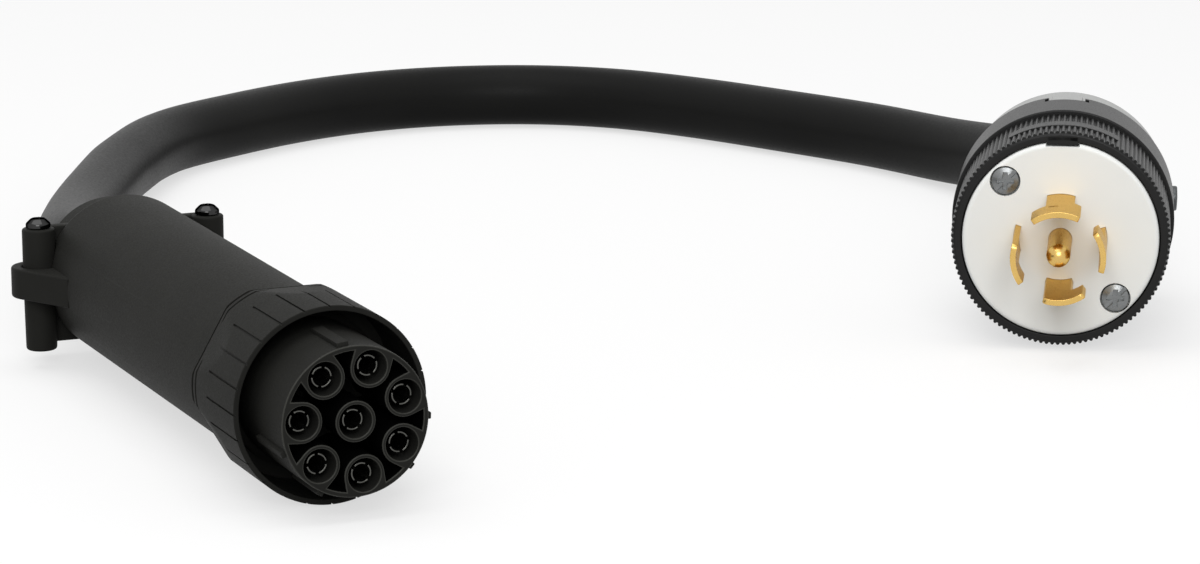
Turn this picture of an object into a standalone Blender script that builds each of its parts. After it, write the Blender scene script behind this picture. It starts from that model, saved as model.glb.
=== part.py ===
"""Power adapter lead: a five-pole locking plug, a heavy round cable and an eight-way round connector.

Sizes are in millimetres and become metres in the meshes. +Z is up. The round connector points along
-Y, and the plug beside it is turned about Z. Both ends and the cable lie on the plane z = 0.
In each end's own frame z points out of its mating face and y points up.
"""
import math

import bmesh
import bpy
from mathutils import Euler, Matrix, Vector

MM = 0.001

# Clearance between neighbours, chamfer of turned rims, and how far cutters and joined bodies run on.
GAP = 0.3
EDGE = 0.4
PAST = 1.0

# How many flat sides stand for a circle, and the angle from which an edge is shaded sharp.
LARGE_SIDES = 36
MIDDLE_SIDES = 16
SMALL_SIDES = 12
SHARP_ANGLE = 30.0

# Where the cable leaves each end, seen from above: the clamp's middle and the plug's rear face.
CLAMP_AT = (-131.8, 81.0)
PLUG_REAR_AT = (140.9, 55.1)
PLUG_TURN = 32.0

# Cable, with the wires that leave its two cut ends inside the housings.
CABLE_RADIUS = 10.75
CABLE_BORE = CABLE_RADIUS + GAP
CABLE_STEP = 32.0
WIRE_RADIUS = 2.1
WIRE_COUNT = 5
WIRE_CIRCLE = 6.2
WIRE_STEPS = 6
WIRE_STRAIGHT = 0.16

# Round connector: the insert, its contact wells and its coding keys.
INSERT_RADIUS = 17.5
INSERT_WALL = 1.2
INSERT_LENGTH = 50.0
VOID_DEPTH = 22.0
WELL_COUNT = 7
WELL_RADIUS = 4.8
WELL_WALL = 0.9
WELL_DEPTH = 26.0
WELL_CIRCLE = INSERT_RADIUS - WELL_RADIUS
FIRST_WELL_ANGLE = 17.0
WEB_SPREAD = 1.5
WEB_SHORT = 1.4
COLLAR_HEIGHT = 1.4
COLLAR_WIDTH = 2.0
KEY_ANGLES = (-8.0, 92.0, 131.0, 207.5, 250.0)
KEY_WIDTHS = (2.8, 1.6, 1.6, 1.6, 1.6)
KEY_HEIGHT = 1.0
KEY_START = 0.9
KEY_LENGTH = 17.0
WIRED_WELLS = (0, 1, 3, 4, 6)

# Socket contacts.
CONTACT_RADIUS = 2.5
CONTACT_WALL = 0.75
CONTACT_BORE_DEPTH = 14.0
CONTACT_RECESS = 3.0
CONTACT_SLOT = 0.7
CONTACT_SLOT_DEPTH = 9.0
CONTACT_COLLAR_HEIGHT = 0.9
CONTACT_COLLAR_WIDTH = 1.6
CONTACT_TAIL = 10.0

# Coupling ring.
RING_SPACE = 4.5
RING_WALL = 1.3
RING_RADIUS = INSERT_RADIUS + RING_SPACE + RING_WALL
RING_SETBACK = 16.3
RING_LENGTH = 24.3
RING_LIP = 4.1
GROOVE_COUNT = 24
GROOVE_WIDTH = 0.8
GROOVE_DEPTH = 0.45
GROOVE_LENGTH = 19.4
FLAT_COUNT = 6
FIRST_FLAT_ANGLE = 15.0
FLAT_DEPTH = 1.7
FLAT_LENGTH = 3.4

# Hood.
HOOD_WALL = 2.8
HOOD_RADIUS = INSERT_RADIUS + GAP + HOOD_WALL
HOOD_FLARE = 0.6
HOOD_BACK = 176.5
HOOD_ROUND = 1.5
HOOD_END_WALL = 8.0
CABLE_IN_HOOD = 43.0

# Cable clamp: two saddles behind the hood, with posts that pass through the hood's ears.
SADDLE_LENGTH = 13.0
SADDLE_SPACE = 0.5
POST_INSET = 0.5
CLAMP_BACK = HOOD_BACK - POST_INSET
CLAMP_OVERHANG = 2.55
CLAMP_SPREAD = HOOD_RADIUS + CLAMP_OVERHANG
POST_RADIUS = 4.3
POST_TOP = 14.0
EAR_RADIUS = 7.4
EAR_HEIGHT = 8.0
EAR_REACH = 19.0
EAR_STEP = 2.2
EAR_INSIDE = 1.6
SADDLE_SPLIT = EAR_HEIGHT / 2 + GAP
SADDLE_HALF = CLAMP_SPREAD - POST_RADIUS / 3
ARCH_WALL = 7.25
ARCH_RADIUS = CABLE_BORE + ARCH_WALL
WEB_TOP = POST_TOP - PAST
SADDLE_FLOOR = 6.15
POST_FOOT = 1.3
SADDLE_BOTTOM = CABLE_BORE + SADDLE_FLOOR
POST_BOTTOM = SADDLE_BOTTOM + POST_FOOT
CLAMP_SCREW_RADIUS = 1.75
CLAMP_SCREW_HEAD = 2.95
CLAMP_SCREW_HEAD_HEIGHT = 2.4
CLAMP_SCREW_TIP = 4.5

# Plug: face, ridged body and rear housing.
FACE_RADIUS = 26.2
FACE_THICK = 12.0
LIP_BACK = 1.0
LIP_WALL = 2.7
LIP_KEY_WIDTH = 8.4
LIP_KEY_HEIGHT = 0.8
LIP_KEY_SHORT = 2.0
GRIP_RADIUS = FACE_RADIUS + GAP + LIP_WALL
GRIP_BACK = 29.0
RIDGE_COUNT = 120
RIDGE_DEPTH = 0.55
PLAIN_START = 14.1
PLAIN_END = 22.4
PLAIN_HALF_ANGLE = 37.0
PLAIN_PROUD = 0.15
BAND_STEP = 1.1
BAND_RADIUS = GRIP_RADIUS + BAND_STEP
BAND_BACK = 52.0
BODY_WALL = 3.0
SPIGOT_DEPTH = 8.0
HOUSING_STEP = 1.7
HOUSING_RADIUS = BAND_RADIUS - HOUSING_STEP
HOUSING_LENGTH = 26.0
HOUSING_BACK = BAND_BACK + HOUSING_LENGTH
HOUSING_WALL = 3.0
HOUSING_ROUND = 9.0
CORE_LENGTH = 21.0
CABLE_PAST_CORE = 3.0
TAB_WIDTH = 9.4
TAB_LENGTH = 5.0
TAB_REAR = 4.0

# Locking blades, centre pin and screws of the plug.
BLADE_ANGLES = {"top": 0.0, "right": 90.0, "bottom": 180.0, "left": 270.0}
BLADE_RADIUS = 13.0
BLADE_THICK = 1.5
BLADE_OUT = 22.0
BLADE_TAIL = 3.0
BLADE_HALF_ANGLE = 19.0
HOOK_ANGLE = 13.0
HOOK_LENGTH = 6.5
HOOK_PROUD = 0.15
PIN_RADIUS = 3.15
PIN_OUT = 24.0
SCREW_HEAD = 3.8
SCREW_HEAD_HEIGHT = 2.2
SCREW_RADIUS = 1.9
SCREW_RIM = 0.5
SCREW_CIRCLE = FACE_RADIUS - SCREW_HEAD - GAP - SCREW_RIM
SCREW_ANGLES = (-44.0, 136.0)
SCREW_BITE = 5.0
TERMINAL_OUT = 6.0
TERMINAL_CIRCLE = BLADE_RADIUS + TERMINAL_OUT
TERMINAL_ANGLES = (0.0, 45.0, 90.0, 180.0, 270.0)
TERMINAL_HEAD = 2.6
TERMINAL_HEAD_HEIGHT = 2.0
TERMINAL_RADIUS = 1.5
TERMINAL_LENGTH = 6.0
FIRST_WIRE_ANGLE = -10.0

# Cord clamp in the rear housing.
JAW_INSET = 14.0
JAW_LENGTH = 9.0
JAW_THICK = 3.0
JAW_HALF_ANGLE = 34.0
JAW_BACK = HOUSING_BACK - JAW_INSET
CORD_SCREW_RADIUS = 2.2
CORD_SCREW_HEAD = 3.5
CORD_SCREW_HEAD_HEIGHT = 3.2

# The cable's straight stretches, as distances behind the hood and the plug, and its lay between them,
# chosen by eye: out of each end, down to the floor and round.
HOOD_STRAIGHT = (-23.0, -3.0, 16.0, 30.0)
PLUG_STRAIGHT = (28.0, 14.0, 0.0, -12.0)
CABLE_LAY = (
    (-128.8, 135.8, 20.2), (-118.8, 173.8, 15.6), (-104.8, 214.8, 12.0), (-86.8, 256.8, CABLE_RADIUS),
    (-66.8, 296.8, CABLE_RADIUS), (-39.8, 336.8, CABLE_RADIUS), (-4.8, 362.8, CABLE_RADIUS),
    (27.2, 379.8, CABLE_RADIUS), (57.2, 387.8, CABLE_RADIUS), (86.2, 386.8, CABLE_RADIUS),
    (113.2, 376.8, CABLE_RADIUS), (135.2, 357.8, CABLE_RADIUS), (152.2, 329.8, CABLE_RADIUS),
    (168.2, 292.8, CABLE_RADIUS), (183.2, 253.8, CABLE_RADIUS), (191.2, 211.8, 11.5),
    (191.2, 168.8, 15.6), (182.2, 127.8, 22.4),
)

for old in list(bpy.data.objects):
    bpy.data.objects.remove(old)


def collection(name):
    made = bpy.data.collections.new(name)
    bpy.context.scene.collection.children.link(made)
    return made


PARTS = collection("power_adapter_lead")
TOOLS = collection("cutters")


def finish(name, colour, roughness, metallic=0.0):
    """A Principled material for one kind of surface."""
    made = bpy.data.materials.new(name)
    made.use_nodes = True
    shader = made.node_tree.nodes["Principled BSDF"]
    shader.inputs["Base Color"].default_value = (*colour, 1.0)
    shader.inputs["Roughness"].default_value = roughness
    shader.inputs["Metallic"].default_value = metallic
    return made


BLACK_SHELL = finish("black_moulded_plastic", (0.030, 0.030, 0.028), 0.55)
BLACK_GRIP = finish("black_ridged_nylon", (0.028, 0.028, 0.028), 0.5)
GREY_SHELL = finish("light_grey_plastic", (0.45, 0.45, 0.44), 0.5)
WHITE_FACE = finish("white_nylon", (0.74, 0.74, 0.70), 0.45)
BRASS = finish("brass", (0.60, 0.40, 0.11), 0.28, 1.0)
SILVER = finish("silver_plate", (0.55, 0.55, 0.53), 0.3, 1.0)
STEEL = finish("zinc_steel", (0.42, 0.43, 0.43), 0.35, 1.0)
BLACK_STEEL = finish("black_steel", (0.02, 0.02, 0.02), 0.25, 0.6)
RUBBER = finish("black_rubber", (0.022, 0.022, 0.024), 0.45)
WIRE_COVER = finish("wire_insulation", (0.05, 0.05, 0.05), 0.5)


def frame(name, at, turn=(0.0, 0.0, 0.0)):
    """An empty that carries the pieces of one end."""
    empty = bpy.data.objects.new(name, None)
    empty.location = Vector(at) * MM
    empty.rotation_euler = [math.radians(a) for a in turn]
    PARTS.objects.link(empty)
    return empty


plug_back = Euler((0, 0, -math.radians(PLUG_TURN))).to_matrix() @ Vector((0, 1, 0))
plug_middle = Vector((*PLUG_REAR_AT, BAND_RADIUS)) - plug_back * HOUSING_BACK
connector_middle = Vector((CLAMP_AT[0], CLAMP_AT[1] - CLAMP_BACK, RING_RADIUS))
CONNECTOR = frame("connector_axis", connector_middle, (90, 0, 0))
CLAMP = frame("clamp_middle", (*CLAMP_AT, RING_RADIUS))
PLUG = frame("plug_axis", plug_middle, (90, 0, -PLUG_TURN))


def piece(name, mesh, parent, material, at=(0, 0, 0), turn=(0, 0, 0)):
    """A named sub-part in an end's frame."""
    made = bpy.data.objects.new(name, mesh)
    PARTS.objects.link(made)
    made.parent = parent
    made.location = Vector(at) * MM
    made.rotation_euler = [math.radians(a) for a in turn]
    if material:
        mesh.materials.append(material)
    return made


def tool(made):
    """Put a cutter, or a body that is joined to another, out of the finished object."""
    PARTS.objects.unlink(made)
    TOOLS.objects.link(made)
    made.hide_render = True
    made.display_type = "WIRE"
    return made


def combine(target, other, operation, solver):
    step = target.modifiers.new(operation.lower(), "BOOLEAN")
    step.operation = operation
    step.solver = solver
    step.object = tool(other)


def cut(target, other, solver="EXACT"):
    combine(target, other, "DIFFERENCE", solver)


def join(target, other, solver="EXACT"):
    combine(target, other, "UNION", solver)


def turned(name, outline, parent, material, sides, at=(0, 0, 0), turn=(0, 0, 0)):
    """A round piece from (radius, height) points, its outer side listed from top to bottom."""
    count = len(outline)
    edges = [(i, i + 1) for i in range(count - 1)]
    if outline[0][0] > 0:
        edges.append((count - 1, 0))
    mesh = bpy.data.meshes.new(name)
    mesh.from_pydata([(r * MM, 0, z * MM) for r, z in outline], edges, [])
    made = piece(name, mesh, parent, material, at, turn)
    screw = made.modifiers.new("turn", "SCREW")
    screw.steps = screw.render_steps = sides
    screw.use_merge_vertices = True
    screw.merge_threshold = 0.00001
    return made


def rods(name, spots, radius, top, bottom, parent, material=None, sides=MIDDLE_SIDES):
    """Straight round bars along z at the given spots, as one mesh."""
    shape = bmesh.new()
    for x, y in spots:
        middle = Matrix.Translation(Vector((x, y, (top + bottom) / 2)) * MM)
        bmesh.ops.create_cone(
            shape, cap_ends=True, segments=sides, radius1=radius * MM, radius2=radius * MM,
            depth=(top - bottom) * MM, matrix=middle)
    mesh = bpy.data.meshes.new(name)
    shape.to_mesh(mesh)
    shape.free()
    return piece(name, mesh, parent, material)


def blocks(name, boxes, parent, material=None):
    """Boxes given as (middle, size, turn about z), as one mesh."""
    shape = bmesh.new()
    for middle, size, angle in boxes:
        stand = Matrix.Rotation(math.radians(angle), 4, "Z")
        stand = stand @ Matrix.Translation(Vector(middle) * MM) @ Matrix.Diagonal((*(Vector(size) * MM), 1))
        bmesh.ops.create_cube(shape, size=1.0, matrix=stand)
    mesh = bpy.data.meshes.new(name)
    shape.to_mesh(mesh)
    shape.free()
    return piece(name, mesh, parent, material)


def plate(name, outlines, top, bottom, parent, material=None):
    """Flat outlines in x and y, extruded along z from bottom to top."""
    curve = bpy.data.curves.new(name, "CURVE")
    curve.dimensions = "2D"
    curve.fill_mode = "BOTH"
    curve.extrude = (top - bottom) / 2 * MM
    for outline in outlines:
        spline = curve.splines.new("POLY")
        spline.points.add(len(outline) - 1)
        for point, (x, y) in zip(spline.points, outline):
            point.co = (x * MM, y * MM, 0, 1)
        spline.use_cyclic_u = True
    drawn = bpy.data.objects.new(name + "_outline", curve)
    TOOLS.objects.link(drawn)
    mesh = solid_copy(drawn)
    bpy.data.objects.remove(drawn)
    shape = bmesh.new()
    shape.from_mesh(mesh)
    bmesh.ops.remove_doubles(shape, verts=shape.verts, dist=0.000001)
    bmesh.ops.recalc_face_normals(shape, faces=shape.faces)
    shape.to_mesh(mesh)
    shape.free()
    mesh.materials.clear()
    return piece(name, mesh, parent, material, (0, 0, (top + bottom) / 2))


def solid_copy(made):
    """The mesh of a piece with all its modifiers applied."""
    bpy.context.view_layer.update()
    return bpy.data.meshes.new_from_object(made.evaluated_get(bpy.context.evaluated_depsgraph_get()))


def polar(radius, angle):
    """A point at a clock angle, in degrees clockwise from up as seen from the front."""
    return radius * math.sin(math.radians(angle)), radius * math.cos(math.radians(angle))


def arc(radius, start, end, steps, middle=(0.0, 0.0)):
    """Points along a circle between two clock angles."""
    points = []
    for i in range(steps + 1):
        x, y = polar(radius, start + (end - start) * i / steps)
        points.append((middle[0] + x, middle[1] + y))
    return points


def ring_of(radius, sides=LARGE_SIDES // 2):
    """A whole circle as a closed outline."""
    return [polar(radius, 360.0 * i / sides) for i in range(sides)]


def sector(inner, outer, start, end, steps):
    """The outline of a curved band between two radii and two clock angles."""
    return arc(outer, start, end, steps) + arc(inner, end, start, steps)


def edge_round(radius, height, size, steps=5):
    """Points of a rounded lower edge, from the side of a turned piece in to its end."""
    points = []
    for i in range(steps + 1):
        a = math.radians(90 * i / steps)
        points.append((radius - size + size * math.cos(a), height + size - size * math.sin(a)))
    return points


# Insert: a tube with a thick floor, eight wells inside it and coding keys outside.
well_angles = [FIRST_WELL_ANGLE + 360.0 * i / WELL_COUNT for i in range(WELL_COUNT)]
well_spots = [polar(WELL_CIRCLE, a) for a in well_angles] + [(0.0, 0.0)]


def well_outline(angle):
    """One outer well: round inside, with webs that flare out to the insert's wall."""
    wall = INSERT_RADIUS - INSERT_WALL / 2
    reach = wall - WELL_CIRCLE - WEB_SHORT
    side = [(WELL_CIRCLE + reach * f, WELL_RADIUS + WEB_SPREAD * f * f) for f in (0.0, 0.45, 0.8, 1.0)]
    corner = math.degrees(math.asin(side[-1][1] / wall))
    local = [(out, -along) for out, along in reversed(side)]
    for i in range(1, MIDDLE_SIDES // 2):
        a = math.tau * i / MIDDLE_SIDES
        local.append((WELL_CIRCLE - WELL_RADIUS * math.sin(a), -WELL_RADIUS * math.cos(a)))
    local += side
    local += [(along, out) for out, along in arc(wall, corner, -corner, 4)]
    turn = math.radians(angle)
    return [(out * math.sin(turn) + along * math.cos(turn), out * math.cos(turn) - along * math.sin(turn))
            for out, along in local]


collar_back = RING_SETBACK + RING_LENGTH - RING_LIP - GAP
collar_front = collar_back - COLLAR_WIDTH
collar_radius = INSERT_RADIUS + COLLAR_HEIGHT
insert = turned(
    "connector_insert",
    [(0, 0), (INSERT_RADIUS - EDGE, 0), (INSERT_RADIUS, -EDGE),
     (INSERT_RADIUS, -collar_front + COLLAR_HEIGHT), (collar_radius, -collar_front),
     (collar_radius, -collar_back), (INSERT_RADIUS, -collar_back), (INSERT_RADIUS, -INSERT_LENGTH),
     (0, -INSERT_LENGTH)],
    CONNECTOR, BLACK_SHELL, LARGE_SIDES)
voids = rods("insert_voids", [(0, 0)], INSERT_RADIUS - INSERT_WALL, PAST, -VOID_DEPTH, CONNECTOR, None,
             LARGE_SIDES)
cut(voids, plate("insert_wells", [well_outline(a) for a in well_angles] + [ring_of(WELL_RADIUS)],
                 2 * PAST, -VOID_DEPTH - PAST, CONNECTOR), "MANIFOLD")
cut(insert, voids, "MANIFOLD")
cut(insert, rods("insert_well_bores", well_spots, WELL_RADIUS - WELL_WALL, PAST, -WELL_DEPTH, CONNECTOR),
    "MANIFOLD")
cut(insert, rods("insert_contact_holes", well_spots, CONTACT_RADIUS + GAP, -WELL_DEPTH + PAST,
                 -INSERT_LENGTH - PAST, CONNECTOR, None, SMALL_SIDES), "MANIFOLD")
key_root = INSERT_RADIUS - INSERT_WALL * 2 / 3
key_top = INSERT_RADIUS + KEY_HEIGHT
join(insert, blocks("insert_keys", [
    ((0, (key_root + key_top) / 2, -KEY_START - KEY_LENGTH / 2),
     (width, key_top - key_root, KEY_LENGTH), -angle)
    for angle, width in zip(KEY_ANGLES, KEY_WIDTHS)], CONNECTOR), "MANIFOLD")

# Socket contacts: split tubes whose collars bear on the back of the insert.
contact_end = -INSERT_LENGTH - CONTACT_TAIL
contact_bore = CONTACT_RADIUS - CONTACT_WALL
bore_end = -CONTACT_RECESS - CONTACT_BORE_DEPTH
contact_collar = CONTACT_RADIUS + CONTACT_COLLAR_HEIGHT
collar_top = -INSERT_LENGTH - GAP
collar_bottom = collar_top - CONTACT_COLLAR_WIDTH
contact = turned(
    "contact_master",
    [(0, bore_end), (contact_bore, bore_end), (contact_bore, -CONTACT_RECESS),
     (CONTACT_RADIUS - EDGE, -CONTACT_RECESS), (CONTACT_RADIUS, -CONTACT_RECESS - EDGE),
     (CONTACT_RADIUS, collar_top), (contact_collar, collar_top), (contact_collar, collar_bottom),
     (CONTACT_RADIUS, collar_bottom),
     (CONTACT_RADIUS, contact_end), (0, contact_end)],
    CONNECTOR, SILVER, SMALL_SIDES)
for angle in (0, 90):
    cut(contact, blocks("contact_slot", [
        ((0, 0, -CONTACT_RECESS + (PAST - CONTACT_SLOT_DEPTH) / 2),
         (CONTACT_SLOT, 3 * CONTACT_RADIUS, CONTACT_SLOT_DEPTH + PAST), angle)], CONNECTOR))
contact_mesh = solid_copy(contact)
bpy.data.objects.remove(contact)
for number, (x, y) in enumerate(well_spots, start=1):
    piece(f"socket_contact_{number}", contact_mesh, CONNECTOR, None, (x, y, 0))

# Coupling ring: a thin grooved sleeve with a lip behind the insert's collar and wrench flats at its rear.
ring_rear = -RING_SETBACK - RING_LENGTH
ring_bore = INSERT_RADIUS + GAP
ring = turned(
    "coupling_ring",
    [(RING_RADIUS - EDGE, -RING_SETBACK), (RING_RADIUS, -RING_SETBACK - EDGE), (RING_RADIUS, ring_rear),
     (ring_bore, ring_rear), (ring_bore, ring_rear + RING_LIP),
     (RING_RADIUS - RING_WALL, ring_rear + RING_LIP), (RING_RADIUS - RING_WALL, -RING_SETBACK)],
    CONNECTOR, BLACK_SHELL, LARGE_SIDES)
cut(ring, blocks("ring_grooves", [
    ((0, RING_RADIUS + (PAST - GROOVE_DEPTH) / 2, -RING_SETBACK + (PAST - GROOVE_LENGTH) / 2),
     (GROOVE_WIDTH, PAST + GROOVE_DEPTH, PAST + GROOVE_LENGTH), 360.0 * i / GROOVE_COUNT)
    for i in range(GROOVE_COUNT)], CONNECTOR))
flat_corner = (RING_RADIUS - FLAT_DEPTH) / math.cos(math.pi / FLAT_COUNT)
flats = [polar(flat_corner, FIRST_FLAT_ANGLE + 360.0 * i / FLAT_COUNT) for i in range(FLAT_COUNT)]
cut(ring, plate("ring_flats", [ring_of(flat_corner + 2 * PAST), flats],
                ring_rear + FLAT_LENGTH, ring_rear - PAST, CONNECTOR))

# Hood: a plain sleeve over the insert's rear, closed round the cable, with an ear at each side.
hood_front = ring_rear - GAP
hood = turned(
    "hood",
    [(HOOD_RADIUS - EDGE, hood_front), (HOOD_RADIUS, hood_front - EDGE)]
    + edge_round(HOOD_RADIUS + HOOD_FLARE, -HOOD_BACK, HOOD_ROUND)
    + [(CABLE_BORE, -HOOD_BACK), (CABLE_BORE, -HOOD_BACK + HOOD_END_WALL),
       (ring_bore, -HOOD_BACK + HOOD_END_WALL), (ring_bore, hood_front)],
    CONNECTOR, BLACK_SHELL, LARGE_SIDES)


def ear_outline(side):
    """A loop round the clamp post, drawn forward to a square end on the hood's side."""
    inside = CABLE_BORE + EAR_INSIDE
    start = -EAR_REACH
    meets = HOOD_RADIUS + EAR_STEP
    reach = math.hypot(CLAMP_SPREAD - meets, start)
    lean = math.degrees(math.atan2(meets - CLAMP_SPREAD, start))
    touch = 360 + lean - math.degrees(math.acos(EAR_RADIUS / reach))
    loop = arc(EAR_RADIUS, touch, 0, 10, (CLAMP_SPREAD, 0))
    return [(side * x, y) for x, y in [(inside, start), (meets, start)] + loop + [(inside, EAR_RADIUS)]]


clamp_spots = [(-CLAMP_SPREAD, 0), (CLAMP_SPREAD, 0)]
join(hood, plate("hood_ears", [ear_outline(1), ear_outline(-1)], EAR_HEIGHT / 2, -EAR_HEIGHT / 2, CLAMP))
cut(hood, rods("post_spaces", clamp_spots, POST_RADIUS + GAP, RING_RADIUS, -RING_RADIUS, CLAMP))

# Clamp saddles: an arch above and a block below the cable, each with two posts for the screws.
saddle_front = -HOOD_BACK - SADDLE_SPACE
saddle_rear = saddle_front - SADDLE_LENGTH
arch_angle = math.degrees(math.acos(WEB_TOP / ARCH_RADIUS))
grip_angle = math.degrees(math.acos(SADDLE_SPLIT / CABLE_BORE))
screw_hole = CLAMP_SCREW_RADIUS + GAP
screw_tip = -POST_BOTTOM + CLAMP_SCREW_TIP
upper = plate(
    "upper_clamp_saddle",
    [[(-SADDLE_HALF, SADDLE_SPLIT), (-SADDLE_HALF, WEB_TOP)] + arc(ARCH_RADIUS, -arch_angle, arch_angle, 12)
     + [(SADDLE_HALF, WEB_TOP), (SADDLE_HALF, SADDLE_SPLIT)] + arc(CABLE_BORE, grip_angle, -grip_angle, 12)],
    saddle_front, saddle_rear, CONNECTOR, BLACK_SHELL)
join(upper, rods("upper_posts", clamp_spots, POST_RADIUS, POST_TOP, GAP / 2, CLAMP))
cut(upper, rods("upper_screw_holes", clamp_spots, screw_hole, POST_TOP + PAST, -PAST, CLAMP, None,
                SMALL_SIDES))
lower = plate(
    "lower_clamp_saddle",
    [[(-SADDLE_HALF, -SADDLE_SPLIT), (-SADDLE_HALF, -SADDLE_BOTTOM), (SADDLE_HALF, -SADDLE_BOTTOM),
      (SADDLE_HALF, -SADDLE_SPLIT)] + arc(CABLE_BORE, 180 - grip_angle, 180 + grip_angle, 12)],
    saddle_front, saddle_rear, CONNECTOR, BLACK_SHELL)
join(lower, rods("lower_posts", clamp_spots, POST_RADIUS, -GAP / 2, -POST_BOTTOM, CLAMP))
cut(lower, rods("lower_screw_holes", clamp_spots, screw_hole, PAST, screw_tip - GAP, CLAMP, None,
                SMALL_SIDES))
head_seat = POST_TOP + GAP
head_top = head_seat + CLAMP_SCREW_HEAD_HEIGHT
for side, (x, y) in zip(("left", "right"), clamp_spots):
    turned(f"clamp_screw_{side}",
           [(0, head_top), (CLAMP_SCREW_RADIUS, head_top), (CLAMP_SCREW_HEAD - EDGE, head_top - 2 * EDGE),
            (CLAMP_SCREW_HEAD, head_top - 4 * EDGE), (CLAMP_SCREW_HEAD, head_seat),
            (CLAMP_SCREW_RADIUS, head_seat), (CLAMP_SCREW_RADIUS, screw_tip), (0, screw_tip)],
           CLAMP, BLACK_STEEL, SMALL_SIDES, (x, y, 0))

# Plug face: a thick white disc pierced for the blades, the pin and the screws.
face = turned(
    "plug_face",
    [(0, 0), (FACE_RADIUS - EDGE, 0), (FACE_RADIUS, -EDGE), (FACE_RADIUS, -FACE_THICK), (0, -FACE_THICK)],
    PLUG, WHITE_FACE, LARGE_SIDES)
blade_inside = BLADE_RADIUS - BLADE_THICK
slot_half = BLADE_HALF_ANGLE + math.degrees(GAP / blade_inside)
screw_spots = [polar(SCREW_CIRCLE, a) for a in SCREW_ANGLES]
terminal_spots = [polar(TERMINAL_CIRCLE, a) for a in TERMINAL_ANGLES]
cut(face, plate("blade_slots", [
    sector(blade_inside - GAP, BLADE_RADIUS + GAP, a - slot_half, a + slot_half, 8)
    for a in BLADE_ANGLES.values()], PAST, -FACE_THICK - PAST, PLUG), "MANIFOLD")
cut(face, rods("pin_hole", [(0, 0)], PIN_RADIUS + GAP, PAST, -FACE_THICK - PAST, PLUG), "MANIFOLD")
cut(face, rods("face_screw_holes", screw_spots, SCREW_RADIUS + GAP, PAST, -FACE_THICK - PAST, PLUG, None,
               SMALL_SIDES), "MANIFOLD")
cut(face, rods("face_screw_seats", screw_spots, SCREW_HEAD + GAP, PAST, -SCREW_HEAD_HEIGHT - 2 * GAP, PLUG),
    "MANIFOLD")
cut(face, rods("terminal_holes", terminal_spots, TERMINAL_RADIUS + GAP, -FACE_THICK + TERMINAL_LENGTH + GAP,
               -FACE_THICK - PAST, PLUG, None, SMALL_SIDES), "MANIFOLD")
key_inside = FACE_RADIUS - LIP_KEY_HEIGHT
notch_height = LIP_KEY_HEIGHT + GAP + PAST
cut(face, blocks("face_notch", [((0, key_inside - GAP + notch_height / 2, -FACE_THICK / 2),
                                 (LIP_KEY_WIDTH + 2 * GAP, notch_height, FACE_THICK + 2 * PAST), 0)], PLUG),
    "MANIFOLD")

# Locking blades, hooked at their tips, and the round pin in the middle.
tail = -FACE_THICK - BLADE_TAIL
for name, a in BLADE_ANGLES.items():
    blade = plate(f"blade_{name}", [
        sector(blade_inside, BLADE_RADIUS, a - BLADE_HALF_ANGLE, a + BLADE_HALF_ANGLE, 8)],
        BLADE_OUT, tail, PLUG, BRASS)
    join(blade, plate(f"blade_{name}_hook", [
        sector(blade_inside - HOOK_PROUD, BLADE_RADIUS + HOOK_PROUD, a - BLADE_HALF_ANGLE - HOOK_ANGLE,
               a - BLADE_HALF_ANGLE / 3, 8)], BLADE_OUT + HOOK_PROUD, BLADE_OUT - HOOK_LENGTH, PLUG))
pin_dome = [(PIN_RADIUS * math.sin(math.radians(18 * i)),
             PIN_OUT - PIN_RADIUS + PIN_RADIUS * math.cos(math.radians(18 * i))) for i in range(1, 6)]
turned("ground_pin", [(0, PIN_OUT)] + pin_dome + [(PIN_RADIUS, tail), (0, tail)], PLUG, BRASS, MIDDLE_SIDES)
terminal_seat = -FACE_THICK - GAP
terminal_back = terminal_seat - TERMINAL_HEAD_HEIGHT
for number, (x, y) in enumerate(terminal_spots, start=1):
    turned(f"terminal_screw_{number}",
           [(0, -FACE_THICK + TERMINAL_LENGTH), (TERMINAL_RADIUS, -FACE_THICK + TERMINAL_LENGTH),
            (TERMINAL_RADIUS, terminal_seat), (TERMINAL_HEAD, terminal_seat), (TERMINAL_HEAD, terminal_back),
            (0, terminal_back)],
           PLUG, BRASS, SMALL_SIDES, (x, y, 0))
core_front = -HOUSING_BACK + CORE_LENGTH
screw_end = core_front - SCREW_BITE
for number, (x, y) in enumerate(screw_spots, start=1):
    turned(f"assembly_screw_{number}",
           [(0, -GAP), (SCREW_HEAD - EDGE, -GAP), (SCREW_HEAD, -GAP - EDGE),
            (SCREW_HEAD, -GAP - SCREW_HEAD_HEIGHT), (SCREW_RADIUS, -GAP - SCREW_HEAD_HEIGHT),
            (SCREW_RADIUS, screw_end), (0, screw_end)],
           PLUG, STEEL, SMALL_SIDES, (x, y, 0))

# Plug body: a ridged grip in front of a smooth band, hollow, with a ledge behind the face.
root = GRIP_RADIUS - RIDGE_DEPTH
ledge = SCREW_CIRCLE + SCREW_HEAD
face_seat = FACE_RADIUS + GAP
socket = BAND_RADIUS - BODY_WALL
spigot_end = -BAND_BACK + SPIGOT_DEPTH
body = turned(
    "plug_body",
    [(root - EDGE, -LIP_BACK), (root, -LIP_BACK - EDGE), (root, -GRIP_BACK), (BAND_RADIUS - EDGE, -GRIP_BACK),
     (BAND_RADIUS, -GRIP_BACK - EDGE), (BAND_RADIUS, -BAND_BACK + EDGE), (BAND_RADIUS - EDGE, -BAND_BACK),
     (socket, -BAND_BACK), (socket, spigot_end), (ledge, spigot_end), (ledge, -FACE_THICK - GAP),
     (face_seat, -FACE_THICK - GAP), (face_seat, -LIP_BACK)],
    PLUG, BLACK_GRIP, LARGE_SIDES)
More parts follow.
